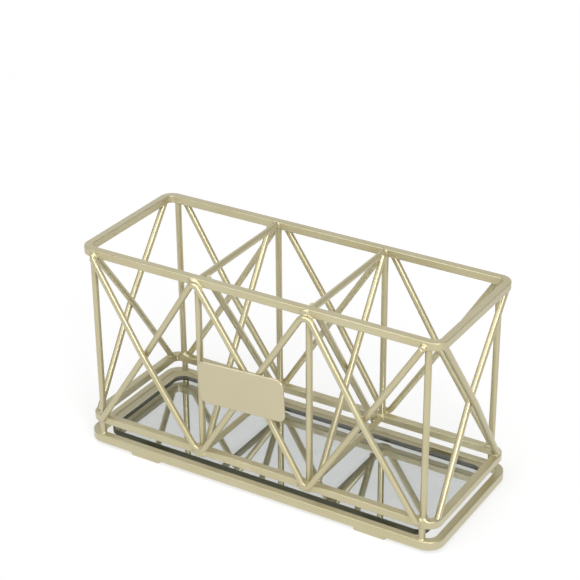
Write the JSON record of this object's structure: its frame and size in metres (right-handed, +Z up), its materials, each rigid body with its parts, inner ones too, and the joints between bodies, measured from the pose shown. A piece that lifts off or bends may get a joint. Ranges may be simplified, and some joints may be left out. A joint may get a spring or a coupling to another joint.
{
  "type": "makeup brush holder",
  "caption": "Open rectangular brush holder of welded wire: square-bar rims, crossing zigzag braces, wire dividers between the compartments, a mirror floor and a bare name plate.",
  "frame": {"origin": "middle of the footprint, on the surface that the holder stands on", "axes": "+X along the length, to the right seen from the front; the front, with the plate, faces -Y; +Z up"},
  "size_m": [0.1724, 0.0747, 0.0955],
  "materials": {
    "frame_paint": "satin champagne-gold paint on steel bar and wire",
    "plate_paint": "satin champagne-gold paint on thin steel sheet",
    "mirror": "clear glass silvered on its back, with ground edges",
    "backing": "plain grey sheet glued under the mirror"
  },
  "bodies": {
    "root": {"back_brace_inner": "frame_paint", "back_brace_outer": "frame_paint", "base_ring": "frame_paint", "bottom_rim": "frame_paint", "divider_left_bottom_bar": "frame_paint", "divider_left_diagonal_back_high": "frame_paint", "divider_left_diagonal_front_high": "frame_paint", "divider_left_top_bar": "frame_paint", "divider_right_bottom_bar": "frame_paint", "divider_right_diagonal_back_high": "frame_paint", "divider_right_diagonal_front_high": "frame_paint", "divider_right_top_bar": "frame_paint", "front_brace_inner": "frame_paint", "front_brace_outer": "frame_paint", "left_brace_inner": "frame_paint", "left_brace_outer": "frame_paint", "mirror_backing": "backing", "mirror_glass": "mirror", "name_plate": "plate_paint", "post_back_left": "frame_paint", "post_back_right": "frame_paint", "post_front_left": "frame_paint", "post_front_right": "frame_paint", "right_brace_inner": "frame_paint", "right_brace_outer": "frame_paint", "strap_left": "frame_paint", "strap_right": "frame_paint", "top_rim": "frame_paint", "upright_back_1": "frame_paint", "upright_back_2": "frame_paint", "upright_back_3": "frame_paint", "upright_back_4": "frame_paint", "upright_front_1": "frame_paint", "upright_front_2": "frame_paint", "upright_front_3": "frame_paint", "upright_front_4": "frame_paint"}
  },
  "joints": []
}
